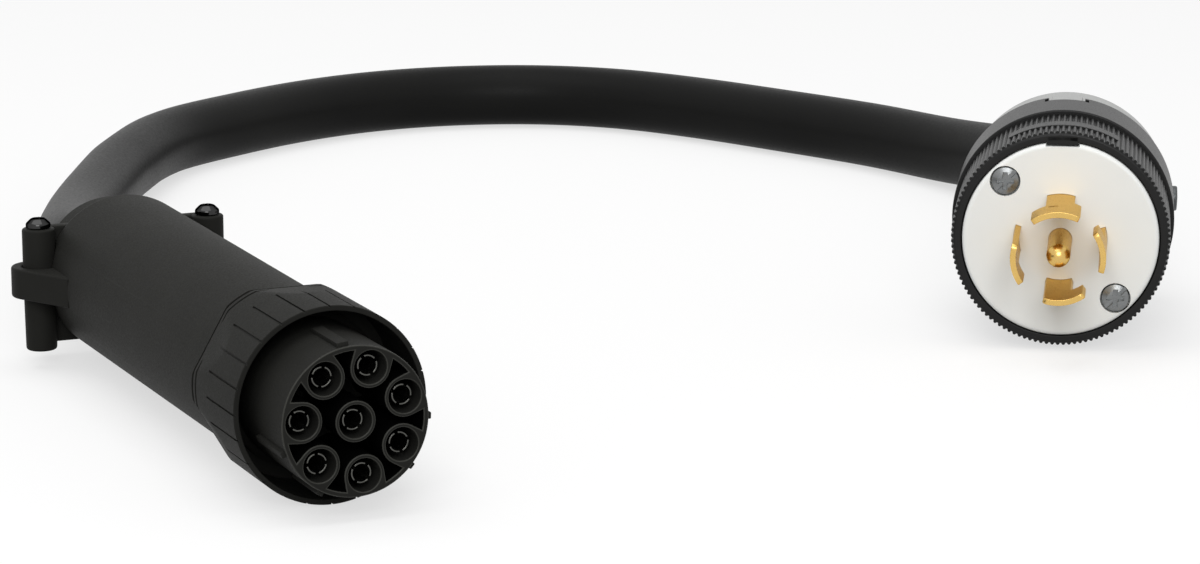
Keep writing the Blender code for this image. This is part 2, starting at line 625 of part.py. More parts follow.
teeth = [polar(GRIP_RADIUS - RIDGE_DEPTH * (i % 2), 180.0 * i / RIDGE_COUNT) for i in range(2 * RIDGE_COUNT)]
sleeve = root - LIP_WALL / 3
join(body, plate("grip_ridges", [teeth, ring_of(sleeve)], -LIP_BACK - PAST, -GRIP_BACK - EDGE, PLUG))
join(body, plate("plain_strip", [
    sector(sleeve, GRIP_RADIUS + PLAIN_PROUD, -PLAIN_HALF_ANGLE, PLAIN_HALF_ANGLE, 24)],
    -PLAIN_START, -PLAIN_END, PLUG))
key_back = -FACE_THICK + LIP_KEY_SHORT
join(body, blocks("lip_key", [((0, (key_inside + sleeve) / 2, (key_back - LIP_BACK) / 2),
                               (LIP_KEY_WIDTH, sleeve - key_inside, -LIP_BACK - key_back), 0)], PLUG))
cut(body, blocks("tab_notch", [((0, BAND_RADIUS, -BAND_BACK),
                                (TAB_WIDTH + 2 * GAP, 3 * BODY_WALL, 2 * TAB_LENGTH), 0)], PLUG))

# Rear housing: a light grey cap whose spigot enters the body, thick where it holds the cable.
spigot = socket - GAP
spigot_front = spigot_end - GAP
cavity = spigot - HOUSING_WALL
housing_front = -BAND_BACK - GAP
housing = turned(
    "rear_housing",
    [(spigot - EDGE, spigot_front), (spigot, spigot_front - EDGE), (spigot, housing_front),
     (HOUSING_RADIUS, housing_front)]
    + edge_round(HOUSING_RADIUS, -HOUSING_BACK, HOUSING_ROUND)
    + [(CABLE_BORE, -HOUSING_BACK), (CABLE_BORE, core_front), (cavity, core_front), (cavity, spigot_front)],
    PLUG, GREY_SHELL, LARGE_SIDES)
tab_top = BAND_RADIUS - EDGE
tab_root = spigot - PAST
tab_front = -BAND_BACK + TAB_LENGTH - 2 * GAP
tab_rear = -BAND_BACK - TAB_REAR
join(housing, blocks("housing_tab", [((0, (tab_top + tab_root) / 2, (tab_front + tab_rear) / 2),
                                      (TAB_WIDTH, tab_top - tab_root, tab_front - tab_rear), 0)], PLUG),
     "MANIFOLD")
cut(housing, rods("housing_screw_holes", screw_spots, SCREW_RADIUS + GAP, core_front + PAST, screw_end - PAST,
                  PLUG, None, SMALL_SIDES), "MANIFOLD")

# Cord clamp: a curved jaw in a pocket of the housing, pressed on the cable by a screw from the side.
jaw_back = CABLE_BORE + JAW_THICK
jaw_front = -JAW_BACK + JAW_LENGTH / 2
jaw_rear = -JAW_BACK - JAW_LENGTH / 2
pocket_half = JAW_HALF_ANGLE + math.degrees(2 * GAP / CABLE_BORE)
plate("cord_clamp_jaw", [sector(CABLE_BORE, jaw_back, 90 - JAW_HALF_ANGLE, 90 + JAW_HALF_ANGLE, 12)],
      jaw_front, jaw_rear, PLUG, STEEL)
cut(housing, plate("jaw_pocket", [
    sector(CABLE_BORE - PAST, jaw_back + GAP, 90 - pocket_half, 90 + pocket_half, 12)],
    jaw_front + GAP, jaw_rear - GAP, PLUG), "MANIFOLD")
sideways = ((0, 0, -JAW_BACK), (0, 90, 0))
hole_top = HOUSING_RADIUS + 2 * PAST
hole_radius = CORD_SCREW_RADIUS + GAP
hole_end = CABLE_BORE + GAP
cut(housing, turned("cord_screw_hole",
                    [(0, hole_top), (hole_radius, hole_top), (hole_radius, hole_end), (0, hole_end)],
                    PLUG, None, SMALL_SIDES, *sideways), "MANIFOLD")
cord_seat = HOUSING_RADIUS + GAP
cord_top = cord_seat + CORD_SCREW_HEAD_HEIGHT
turned("cord_clamp_screw",
       [(0, cord_top), (CORD_SCREW_HEAD - EDGE, cord_top), (CORD_SCREW_HEAD, cord_top - EDGE),
        (CORD_SCREW_HEAD, cord_seat), (CORD_SCREW_RADIUS, cord_seat), (CORD_SCREW_RADIUS, jaw_back + GAP),
        (0, jaw_back + GAP)],
       PLUG, STEEL, SMALL_SIDES, *sideways)


def tube(name, points, radius, detail, material, parent=None):
    """A round cable or wire with flat ends along the given points."""
    curve = bpy.data.curves.new(name, "CURVE")
    curve.dimensions = "3D"
    curve.bevel_depth = radius * MM
    curve.bevel_resolution = detail
    curve.use_fill_caps = True
    spline = curve.splines.new("POLY")
    spline.points.add(len(points) - 1)
    for point, place in zip(spline.points, points):
        point.co = (*(Vector(place) * MM), 1)
    curve.materials.append(material)
    made = bpy.data.objects.new(name, curve)
    PARTS.objects.link(made)
    made.parent = parent
    return made


def smooth_route(points, step):
    """Evenly spaced points on a smooth curve through the route's own points, never below the floor."""
    places = [Vector(p) for p in points]
    places = [2 * places[0] - places[1]] + places + [2 * places[-1] - places[-2]]
    dense = [places[1]]
    for a, b, c, d in zip(places, places[1:], places[2:], places[3:]):
        for i in range(1, 13):
            t = i / 12
            dense.append(0.5 * (2 * b + (c - a) * t + (2 * a - 5 * b + 4 * c - d) * t * t
                                + (3 * b - a - 3 * c + d) * t ** 3))
    run = [0.0]
    for a, b in zip(dense, dense[1:]):
        run.append(run[-1] + (b - a).length)
    count = round(run[-1] / step)
    even = []
    leg = 0
    for i in range(count + 1):
        goal = run[-1] * i / count
        while leg < len(dense) - 2 and run[leg + 1] < goal:
            leg += 1
        share = (goal - run[leg]) / (run[leg + 1] - run[leg])
        spot = dense[leg].lerp(dense[leg + 1], share)
        even.append(Vector((spot.x, spot.y, max(spot.z, CABLE_RADIUS))))
    return even


# Cable: straight out of each end, down to the floor and round in one loop.
cable_start = HOOD_BACK - CABLE_IN_HOOD
cable_end = -core_front - CABLE_PAST_CORE
connector_run = [connector_middle + Vector((0, back, 0)) for back in (
    cable_start, *(HOOD_BACK + step for step in HOOD_STRAIGHT))]
plug_run = [plug_middle + plug_back * back for back in (
    *(HOUSING_BACK + step for step in PLUG_STRAIGHT), cable_end)]
tube("cable", smooth_route([*connector_run, *CABLE_LAY, *plug_run], CABLE_STEP), CABLE_RADIUS, 3, RUBBER)


def wire_points(start, end, top, bottom):
    """A wire that runs straight at both ends and eases from one spot to the other between them."""
    points = []
    for i in range(WIRE_STEPS + 1):
        t = i / WIRE_STEPS
        ease = min(max((t - WIRE_STRAIGHT) / (1 - 2 * WIRE_STRAIGHT), 0), 1)
        ease = ease * ease * (3 - 2 * ease)
        points.append((start[0] + (end[0] - start[0]) * ease, start[1] + (end[1] - start[1]) * ease,
                       bottom + (top - bottom) * t))
    return points


# Wires from the cable's cut ends to five contacts and to the five terminals.
for number in range(WIRE_COUNT):
    turn = 360.0 * number / WIRE_COUNT
    contact_route = wire_points(polar(WIRE_CIRCLE, FIRST_WELL_ANGLE + turn), well_spots[WIRED_WELLS[number]],
                                contact_end - GAP, -cable_start + GAP)
    tube(f"connector_wire_{number + 1}", contact_route, WIRE_RADIUS, 1, WIRE_COVER, CONNECTOR)
    terminal_route = wire_points(polar(WIRE_CIRCLE, FIRST_WIRE_ANGLE + turn), terminal_spots[number],
                                 terminal_back - GAP, -cable_end + GAP)
    tube(f"plug_wire_{number + 1}", terminal_route, WIRE_RADIUS, 1, WIRE_COVER, PLUG)

# Shade every piece smooth, with its modifiers applied and its true edges left sharp.
for made in list(PARTS.objects):
    if made.type == "MESH":
        made.data = solid_copy(made)
        made.modifiers.clear()
        made.data.shade_smooth()
        made.data.set_sharp_from_angle(angle=math.radians(SHARP_ANGLE))
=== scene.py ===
"""Looks of the power adapter lead: a round connector, a heavy cable and a locking plug on a white floor.

Shapes are drawn in millimetres in the frame of the end that carries them and placed in metres. In the
connector's and the plug's frame z points out of the mating face and y points up; in the clamp's, z is up.
"""
import math

import bmesh
import bpy
from mathutils import Euler, Matrix, Vector


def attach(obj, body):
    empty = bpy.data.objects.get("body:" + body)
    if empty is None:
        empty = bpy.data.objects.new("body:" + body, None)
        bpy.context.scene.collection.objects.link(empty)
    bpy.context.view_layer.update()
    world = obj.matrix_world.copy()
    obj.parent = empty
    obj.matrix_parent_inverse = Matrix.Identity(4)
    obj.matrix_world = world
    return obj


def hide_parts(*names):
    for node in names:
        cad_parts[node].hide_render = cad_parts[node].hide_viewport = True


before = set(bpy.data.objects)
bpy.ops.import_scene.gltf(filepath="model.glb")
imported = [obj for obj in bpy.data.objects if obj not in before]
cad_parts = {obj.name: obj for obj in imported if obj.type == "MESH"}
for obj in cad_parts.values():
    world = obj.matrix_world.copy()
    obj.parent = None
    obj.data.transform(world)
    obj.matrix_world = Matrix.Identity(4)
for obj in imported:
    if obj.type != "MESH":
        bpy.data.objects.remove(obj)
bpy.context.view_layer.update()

# Studio: a sheet of white paper under an even sky, a large soft lamp overhead and a second one in front.
# Paper and sky are white to the camera and in reflections, and the paper keeps the lead's soft shadow.
FLOOR_HALF = 6.0
FLOOR_UNDER = 0.0002
PAPER_TONE = 0.36
SKY_LIGHT = 0.5
LAMP_AIM = (0.0, 0.05, 0.0)
CAMERA_PLACE = (-0.41597, -0.87062, 0.23161)
CAMERA_DOWN = 12.078
CAMERA_TURN = 23.91
FOCAL_LENGTH = 114.0
SENSOR_WIDTH = 36.0


def linear(code):
    """A colour written as sRGB hex, as linear values with an alpha of one."""
    parts = [int(code[i:i + 2], 16) / 255 for i in (0, 2, 4)]
    return (*[v / 12.92 if v <= 0.04045 else ((v + 0.055) / 1.055) ** 2.4 for v in parts], 1.0)


def add(tree, kind, inputs=None, **settings):
    """Add a node; inputs maps a socket's name or number to a value or to another node's output."""
    made = tree.nodes.new(kind)
    for key, value in settings.items():
        setattr(made, key, value)
    for key, value in (inputs or {}).items():
        if isinstance(value, bpy.types.NodeSocket):
            tree.links.new(value, made.inputs[key])
        else:
            made.inputs[key].default_value = value
    return made


def seen_white(tree):
    """One for rays that show the background: straight to the camera, mirrored or through glass."""
    path = add(tree, "ShaderNodeLightPath")
    seen = add(tree, "ShaderNodeMath", {0: path.outputs["Is Camera Ray"], 1: path.outputs["Is Glossy Ray"]},
               operation="MAXIMUM")
    return add(tree, "ShaderNodeMath", {0: seen.outputs[0], 1: path.outputs["Is Transmission Ray"]},
               operation="MAXIMUM").outputs[0]


paper = bpy.data.materials.new("white_paper")
paper.use_nodes = True
tree = paper.node_tree
tree.nodes.clear()
glow = add(tree, "ShaderNodeMath", {0: seen_white(tree), 1: 1.0 - PAPER_TONE}, operation="MULTIPLY")
shade = add(tree, "ShaderNodeBsdfDiffuse", {"Color": (PAPER_TONE, PAPER_TONE, PAPER_TONE, 1.0)})
light = add(tree, "ShaderNodeEmission", {"Strength": glow.outputs[0]})
both = add(tree, "ShaderNodeAddShader", {0: shade.outputs[0], 1: light.outputs[0]})
add(tree, "ShaderNodeOutputMaterial", {"Surface": both.outputs[0]})
floor_mesh = bpy.data.meshes.new("paper_floor")
floor_mesh.from_pydata([(x * FLOOR_HALF, y * FLOOR_HALF, -FLOOR_UNDER)
                        for x, y in ((-1, -1), (1, -1), (1, 1), (-1, 1))], [], [(0, 1, 2, 3)])
floor_mesh.materials.append(paper)
floor = bpy.data.objects.new("paper_floor", floor_mesh)
bpy.context.scene.collection.objects.link(floor)

sky = bpy.data.worlds.new("white_sky")
sky.use_nodes = True
tree = sky.node_tree
tree.nodes.clear()
level = add(tree, "ShaderNodeMath", {0: seen_white(tree), 1: 1.0 - SKY_LIGHT, 2: SKY_LIGHT},
            operation="MULTIPLY_ADD")
ground = add(tree, "ShaderNodeBackground", {"Color": (1, 1, 1, 1), "Strength": level.outputs[0]})
add(tree, "ShaderNodeOutputWorld", {"Surface": ground.outputs[0]})
bpy.context.scene.world = sky

for name, place, size, watts in (("lamp_overhead", (-0.3, 0.0, 1.7), 1.6, 13.0),
                                 ("lamp_front", (-0.9, -1.9, 1.1), 1.2, 23.0)):
    lamp = bpy.data.lights.new(name, "AREA")
    lamp.size = size
    lamp.energy = watts
    stand = bpy.data.objects.new(name, lamp)
    stand.location = place
    stand.rotation_euler = (Vector(LAMP_AIM) - Vector(place)).to_track_quat("-Z", "Y").to_euler()
    bpy.context.scene.collection.objects.link(stand)

lens = bpy.data.cameras.new("photo_camera")
lens.lens = FOCAL_LENGTH
lens.sensor_width = SENSOR_WIDTH
camera = bpy.data.objects.new("photo_camera", lens)
camera.location = CAMERA_PLACE
camera.rotation_euler = (math.radians(90 - CAMERA_DOWN), 0.0, -math.radians(CAMERA_TURN))
bpy.context.scene.collection.objects.link(camera)
bpy.context.scene.camera = camera
bpy.context.scene.view_settings.view_transform = "Standard"

# Insert of the round connector: one black polyamide moulding with seven wells round an eighth, webbed to
# a thin outer wall, and coding ribs outside. It snaps into the hood from the front, and is drawn solid
# behind the voids.
MM = 0.001
INSERT_RADIUS = 17.5
WELL_CIRCLE = 12.7
WELL_RADIUS = 4.8
WELL_BORE = 3.9
WELLS = 7
WELL_STEP = 360.0 / WELLS
FIRST_WELL = 17.0
VOID_RADIUS = 16.3
VOID_DEPTH = 22.0
VOID_OVERLAP = 0.5
RIM_ROUND = 0.26
REAR_RADIUS, INSERT_REAR = 17.45, -50.0
COLLAR_RADIUS = 18.9
COLLAR_SLOPE, COLLAR_FRONT, COLLAR_REAR = -32.8, -34.2, -36.2
RIBS = ((-8.0, 2.8), (92.0, 1.6), (131.0, 1.6), (207.5, 1.6), (250.0, 1.6))
RIB_OUT, RIB_MIDDLE = 17.65, -9.4
RIB_HEIGHT, RIB_LENGTH = 1.7, 17.0
PAINTED_SHADE_FROM = -0.3
WELL_LAND = 0.3
WALL_REACH = 0.1
LEAST_TILT, MOST_TILT = 0.2, 0.98
WELL_STEPS, WALL_STEPS = 14, 4
EDGE_STEPS = 2
WELD_WITHIN = 0.001
CORNER_SHARE = 0.49
STEPS_PER_MM, LEAST_STEPS, MOST_STEPS = 3, 4, 12
NOISE_LOW, NOISE_HIGH = 0.3, 0.7
SHARP_ANGLE = 38


def stand_at(place, turn):
    """The frame of one end: millimetres in its own axes to metres in the object's."""
    turn = Euler([math.radians(a) for a in turn]).to_matrix().to_4x4()
    return Matrix.Translation(Vector(place) * MM) @ turn @ Matrix.Scale(MM, 4)


CONNECTOR = stand_at((-131.8, -95.0, 23.3), (90, 0, 0))


def around(angle, out, along=0.0):
    """A point at a clock angle seen from the front: how far out, and how far on round from there."""
    s, c = math.sin(math.radians(angle)), math.cos(math.radians(angle))
    return out * s + along * c, out * c - along * s


def arc(radius, start, end, steps, middle=(0.0, 0.0)):
    """Points on a circle from one clock angle to another."""
    places = [around(start + (end - start) * i / steps, radius) for i in range(steps + 1)]
    return [(x + middle[0], y + middle[1]) for x, y in places]


def circle(radius, middle=(0.0, 0.0), sides=48):
    return arc(radius, 0, 360, sides, middle)[:-1]


def pour(part, shape, move=None):
    """Add one closed mesh in the making to another, facing outward."""
    bmesh.ops.recalc_face_normals(part, faces=part.faces)
    if part.calc_volume(signed=True) < 0:
        bmesh.ops.reverse_faces(part, faces=part.faces)
    mesh = bpy.data.meshes.new("part")
    part.to_mesh(mesh)
    part.free()
    if move:
        mesh.transform(move)
    shape.from_mesh(mesh)
    bpy.data.meshes.remove(mesh)


def spare(shape):
    """A passing object that holds a mesh in the making while Blender works on it."""
    mesh = bpy.data.meshes.new("spare")
    shape.to_mesh(mesh)
    shape.free()
    made = bpy.data.objects.new("spare", mesh)
    bpy.context.scene.collection.objects.link(made)
    return made


def worked(*objects):
    """The first object's finished mesh, after which all the passing objects go."""
    bpy.context.view_layer.update()
    mesh = bpy.data.meshes.new_from_object(objects[0].evaluated_get(bpy.context.evaluated_depsgraph_get()))
    for made in objects:
        bpy.data.objects.remove(made)
    shape = bmesh.new()
    shape.from_mesh(mesh)
    bpy.data.meshes.remove(mesh)
    return shape


def plate(shape, outlines, top, bottom, edge):
    """Flat outlines, holes among them, drawn out along z with every edge rounded."""
    curve = bpy.data.curves.new("plate", "CURVE")
    curve.dimensions = "2D"
    curve.fill_mode = "BOTH"
    curve.extrude = (top - bottom) / 2 - edge
    curve.bevel_depth = edge
    curve.bevel_resolution = EDGE_STEPS
    curve.offset = -edge
    for outline in outlines:
        spline = curve.splines.new("POLY")
        spline.points.add(len(outline) - 1)
        for point, (x, y) in zip(spline.points, outline):
            point.co = (x, y, 0, 1)
        spline.use_cyclic_u = True
    drawn = bpy.data.objects.new("plate", curve)
    bpy.context.scene.collection.objects.link(drawn)
    part = worked(drawn)
    bpy.data.curves.remove(curve)
    bmesh.ops.remove_doubles(part, verts=part.verts, dist=WELD_WITHIN)
    pour(part, shape, Matrix.Translation((0, 0, (top + bottom) / 2)))


def rounded(corners, closed):
    """Points of an outline given as corners (x, y, rounding)."""
    points = []
    for i, (x, y, size) in enumerate(corners):
        here = Vector((x, y))
        if not size or not closed and i in (0, len(corners) - 1):
            points.append(here)
            continue
        before = Vector(corners[i - 1][:2]) - here
        after = Vector(corners[(i + 1) % len(corners)][:2]) - here
        reach = min(size / math.tan(before.angle(after) / 2),
                    before.length * CORNER_SHARE, after.length * CORNER_SHARE)
        start, end = here + before.normalized() * reach, here + after.normalized() * reach
        steps = min(max(round(STEPS_PER_MM * size), LEAST_STEPS), MOST_STEPS)
        for k in range(steps + 1):
            points.append(start.lerp(here, k / steps).lerp(here.lerp(end, k / steps), k / steps))
    return points


def turned(shape, corners, sides=96, move=None):
    """A round body from corners (radius, height, rounding), its outer side listed from top to bottom."""
    closed = corners[0][0] > 0
    part = bmesh.new()
    hoops = []
    for r, z in rounded(corners, closed):
        if r < 1e-6:
            hoops.append([part.verts.new((0, 0, z))] * sides)
        else:
            hoops.append([part.verts.new((*around(360.0 * i / sides, r), z)) for i in range(sides)])
    for upper, lower in zip(hoops, hoops[1:] + hoops[:1] if closed else hoops[1:]):
        for i in range(sides):
            k = (i + 1) % sides
            ring = list(dict.fromkeys((upper[i], upper[k], lower[k], lower[i])))
            if len(ring) > 2:
                part.faces.new(ring)
    pour(part, shape, move)


def block(shape, middle, size, angle=0.0, edge=0.2):
    """A box with rounded edges, turned to a clock angle about z."""
    part = bmesh.new()
    bmesh.ops.create_cube(part, size=1.0, matrix=Matrix.Diagonal((*size, 1)))
    bmesh.ops.bevel(part, geom=part.edges[:], offset=edge, segments=EDGE_STEPS, profile=0.5, affect="EDGES")
    pour(part, shape, Matrix.Rotation(-math.radians(angle), 4, "Z") @ Matrix.Translation(middle))


def finish(name, tones, patch_mm, grain_mm, relief_mm, rough, **sockets):
    """A surface whose tone drifts in patches between two colours and whose grain dents and dulls it."""
    made = bpy.data.materials.new(name)
    made.use_nodes = True
    tree = made.node_tree
    shader = tree.nodes["Principled BSDF"]
    for key, value in sockets.items():
        shader.inputs[key.replace("_", " ")].default_value = value
    where = add(tree, "ShaderNodeTexCoord").outputs["Object"]
    patches = add(tree, "ShaderNodeTexNoise", {
        "Vector": where, "Scale": 1 / (patch_mm * MM), "Detail": 3.0})
    grain = add(tree, "ShaderNodeTexNoise", {
        "Vector": where, "Scale": 1 / (grain_mm * MM), "Detail": 2.0})
    tone = add(tree, "ShaderNodeMix", {
        0: patches.outputs[0], 6: linear(tones[0]), 7: linear(tones[1])}, data_type="RGBA")
    dull = add(tree, "ShaderNodeMapRange", {
        0: grain.outputs[0], 1: NOISE_LOW, 2: NOISE_HIGH, 3: rough[0], 4: rough[1]})
    dent = add(tree, "ShaderNodeBump", {"Height": grain.outputs[0], "Distance": relief_mm * MM})
    tree.links.new(tone.outputs[2], shader.inputs["Base Color"])
    tree.links.new(dull.outputs[0], shader.inputs["Roughness"])
    tree.links.new(dent.outputs[0], shader.inputs["Normal"])
    return made


def settle(name, shape, stand, material, slot, *nodes, body="lead"):
    """Put a mesh in its place, tie it to its body and let it stand for its CAD nodes."""
    mesh = bpy.data.meshes.new(name)
    shape.to_mesh(mesh)
    shape.free()
    mesh.transform(stand)
    mesh.shade_smooth()
    mesh.set_sharp_from_angle(angle=math.radians(SHARP_ANGLE))
    mesh.materials.clear()
    mesh.materials.append(material)
    made = bpy.data.objects.new(name, mesh)
    bpy.context.scene.collection.objects.link(made)
    made.modifiers.new("even_shading", "WEIGHTED_NORMAL").keep_sharp = True
    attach(made, body)
    if nodes:
        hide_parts(*nodes)
    return made


# Glass-filled polyamide from a lightly spark-eroded mould: near black, satin, with a fine even grain. The
# grain here and on the other mouldings is drawn a few times coarser than the real one, so that it shows.
black_polyamide = finish("black_polyamide", ("20201e", "282826"), patch_mm=14.0, grain_mm=0.45,
                         relief_mm=0.012, rough=(0.5, 0.64), Specular_IOR_Level=0.04)
shape = bmesh.new()
web_angle = math.degrees(math.asin(WELL_RADIUS / VOID_RADIUS))
void = []
for i in range(WELLS):
    a = FIRST_WELL + WELL_STEP * i
    void += [around(a, WELL_CIRCLE - WELL_RADIUS * math.sin(math.pi * k / WELL_STEPS),
                    -WELL_RADIUS * math.cos(math.pi * k / WELL_STEPS)) for k in range(WELL_STEPS + 1)]
    void += arc(VOID_RADIUS, a + web_angle, a + WELL_STEP - web_angle, WALL_STEPS)
well_spots = [around(FIRST_WELL + WELL_STEP * i, WELL_CIRCLE) for i in range(WELLS)] + [(0.0, 0.0)]
plate(shape, [circle(INSERT_RADIUS, sides=96), void, circle(WELL_RADIUS)]
      + [circle(WELL_BORE, spot, sides=32) for spot in well_spots],
      0.0, -VOID_DEPTH - VOID_OVERLAP, RIM_ROUND)
turned(shape, [(0, -VOID_DEPTH, 0), (REAR_RADIUS, -VOID_DEPTH, 0), (REAR_RADIUS, COLLAR_SLOPE, 0),
               (COLLAR_RADIUS, COLLAR_FRONT, 0.2), (COLLAR_RADIUS, COLLAR_REAR, 0.2),
               (REAR_RADIUS, COLLAR_REAR, 0), (REAR_RADIUS, INSERT_REAR, 0.4), (0, INSERT_REAR, 0)])
for angle, width in RIBS:
    block(shape, (0, RIB_OUT, RIB_MIDDLE), (width, RIB_HEIGHT, RIB_LENGTH), angle, edge=0.25)
insert = settle("insert_moulding", shape, CONNECTOR, black_polyamide, "black_plastic", "connector_insert")

# The same polyamide between the wells, darkened as painted shade: the voids are black in the photo, their
# depth a guess.
void_painted_shade = finish("black_polyamide_painted_shade_in_voids", ("040404", "070707"), patch_mm=14.0, grain_mm=0.45,
                        relief_mm=0.012, rough=(0.6, 0.7), Specular_IOR_Level=0.01)
insert.data.materials.append(void_painted_shade)

# Rounded rims of the same moulding: smoother, and lighter as a painted highlight, since they catch the
# light in the photo.
rim_painted_highlight = finish("black_polyamide_painted_highlight_on_rims", ("31312e", "3b3b37"), patch_mm=14.0, grain_mm=0.45,
                       relief_mm=0.006, rough=(0.34, 0.46), Specular_IOR_Level=0.12)
insert.data.materials.append(rim_painted_highlight)
# Faces on the rounded front rims get the painted highlight, and faces down in the voids, outside the wells,
# get the painted shade.
into_connector = CONNECTOR.inverted()
for face in insert.data.polygons:
    spot = into_connector @ face.center
    tilt = (into_connector.to_3x3() @ face.normal).normalized().z
    if spot.z > -RIM_ROUND and LEAST_TILT < tilt < MOST_TILT:
        face.material_index = 2
    in_well = any((spot.xy - Vector(well)).length < WELL_RADIUS - WELL_LAND for well in well_spots)
    if spot.z < PAINTED_SHADE_FROM and spot.xy.length < VOID_RADIUS + WALL_REACH and not in_well:
        face.material_index = 1

# Contacts: turned copper-alloy sockets, silver plated, split by two crossed slots so that their four
# fingers spring round a pin. Each is pushed in from the back and latched in its well, and only the part
# in the well is drawn.
CONTACT_RADIUS = 2.5
CONTACT_BORE = 2.05
CONTACT_TOP = -2.2
CONTACT_END = -22.2
FINGERS = 4
FINGER_END = -12.0
FINGER_OVERLAP = 0.3
FINGER_STEPS, FINGER_ROUND = 8, 0.14
SLOT_HALF_ANGLE = 9.5

copies = bpy.data.node_groups.new("copies_round_axis", "GeometryNodeTree")
for label, kind in (("Body", "Geometry"), ("Copy", "Object"), ("Count", "Int"), ("First Angle", "Float"),
                    ("Step Angle", "Float"), ("Finish", "Material")):
    copies.interface.new_socket(label, in_out="INPUT", socket_type="NodeSocket" + kind)
copies.interface.new_socket("Result", in_out="OUTPUT", socket_type="NodeSocketGeometry")
given = add(copies, "NodeGroupInput").outputs
points = add(copies, "GeometryNodePoints", {"Count": given["Count"]})
number = add(copies, "GeometryNodeInputIndex")
turn = add(copies, "ShaderNodeMath", {
    0: number.outputs[0], 1: given["Step Angle"], 2: given["First Angle"]}, operation="MULTIPLY_ADD")
about = add(copies, "ShaderNodeCombineXYZ", {"Z": turn.outputs[0]})
facing = add(copies, "FunctionNodeEulerToRotation", {0: about.outputs[0]})
pattern = add(copies, "GeometryNodeObjectInfo", {"Object": given["Copy"]})
placed = add(copies, "GeometryNodeInstanceOnPoints", {
    "Points": points.outputs[0], "Instance": pattern.outputs["Geometry"], "Rotation": facing.outputs[0]})
joined = add(copies, "GeometryNodeJoinGeometry", {0: given["Body"]})
copies.links.new(placed.outputs[0], joined.inputs[0])
real = add(copies, "GeometryNodeRealizeInstances", {0: joined.outputs[0]})
coated = add(copies, "GeometryNodeSetMaterial", {"Geometry": real.outputs[0], "Material": given["Finish"]})
add(copies, "NodeGroupOutput", {0: coated.outputs[0]})


def copied_round(body, copy, count, first, step, material):
    """A body with copies of a shape round its z axis at clock angles, as one mesh."""
    holder, original = spare(body), spare(copy)
    made = holder.modifiers.new("copies", "NODES")
    made.node_group = copies
    values = {"Copy": original, "Count": count, "First Angle": -math.radians(first),
              "Step Angle": -math.radians(step), "Finish": material}
    for item in copies.interface.items_tree:
        if item.in_out == "INPUT" and item.name in values:
            made[item.identifier] = values[item.name]
    return worked(holder, original)


def contact(shape, middle):
    """One split socket with its rim just inside the well."""
    part = bmesh.new()
    fingers = []
    for i in range(FINGERS):
        start = 360 / FINGERS * (i + 0.5) + SLOT_HALF_ANGLE
        end = 360 / FINGERS * (i + 1.5) - SLOT_HALF_ANGLE
        fingers.append(arc(CONTACT_RADIUS, start, end, FINGER_STEPS)
                       + arc(CONTACT_BORE, end, start, FINGER_STEPS))
    plate(part, fingers, CONTACT_TOP, FINGER_END - FINGER_OVERLAP, FINGER_ROUND)
    turned(part, [(CONTACT_RADIUS, FINGER_END, 0), (CONTACT_RADIUS, CONTACT_END, 0),
                  (CONTACT_BORE, CONTACT_END, 0), (CONTACT_BORE, FINGER_END, 0)], sides=32)
    pour(part, shape, Matrix.Translation((*middle, 0)))


# Silver plate over turned copper alloy: a cool metal, dulled, and darkened as painted shade deep in the
# wells.
silver_plate = finish("silver_plate", ("4c4c49", "62625e"), patch_mm=3.0, grain_mm=0.25, relief_mm=0.003,
                      rough=(0.24, 0.38), Metallic=1.0)
centre, outer = bmesh.new(), bmesh.new()
contact(centre, (0, 0))
contact(outer, (0, WELL_CIRCLE))
shape = copied_round(centre, outer, WELLS, FIRST_WELL, WELL_STEP, silver_plate)
settle("contact_set", shape, CONNECTOR, silver_plate, "contact_silver",
       *[f"socket_contact_{i}" for i in range(1, 9)])

# Coupling ring: a thin black polyamide sleeve, moulded with narrow grip grooves and with wrench flats at
# its rear. Its inner lip turns freely behind the insert's collar and draws the mating shell in.
RING_RADIUS = 23.3
RING_FRONT, RING_REAR = -16.3, -47.0
GROOVES = 24
GROOVE_WIDTH = 0.5
GROOVE_DEPTH = 0.45
GROOVE_END = -35.7
FLATS = 6
FLAT_FRONT = -31.0
FLAT_ROWS = 12
FLAT_OUT = 21.6
RING_BORE = 22.0
LIP_BORE, LIP_FRONT = 17.8, -36.5
REAR_GROOVES = ((22.4, -43.5, -44.2), (20.6, -45.7, -46.6))
GROOVE_SLOPE = 0.1
CUT_PAST = 1.0


def carved(shape, *cutters):
    """A shape with other closed shapes cut out of it."""
    target, tools = spare(shape), [spare(cutter) for cutter in cutters]
    for cutter in tools:
        step = target.modifiers.new("cut", "BOOLEAN")
        step.operation = "DIFFERENCE"
        step.solver = "EXACT"
        step.object = cutter
    return worked(target, *tools)


sleeve, groove = bmesh.new(), bmesh.new()
side = [(RING_RADIUS, RING_FRONT, 0.25)] + [(RING_RADIUS, FLAT_FRONT - k, 0) for k in range(FLAT_ROWS)]
for bottom, front, rear in REAR_GROOVES:
    side += [(RING_RADIUS, front + GROOVE_SLOPE, 0.1), (bottom, front, 0), (bottom, rear, 0),
             (RING_RADIUS, rear - GROOVE_SLOPE, 0.1)]
turned(sleeve, side + [(RING_RADIUS, RING_REAR, 0.1), (LIP_BORE, RING_REAR, 0.2),
                       (LIP_BORE, LIP_FRONT, 0.2), (RING_BORE, LIP_FRONT, 0),
                       (RING_BORE, RING_FRONT, 0.25)], sides=144)
for vert in sleeve.verts:
    x, y, z = vert.co
    share = min(max((FLAT_FRONT - z) / (FLAT_FRONT - RING_REAR), 0.0), 1.0)
    off_middle = math.remainder(math.atan2(x, y), math.tau / FLATS)
    limit = (RING_RADIUS + (FLAT_OUT - RING_RADIUS) * share) / math.cos(off_middle)
    vert.co.xy *= min(1.0, limit / math.hypot(x, y))
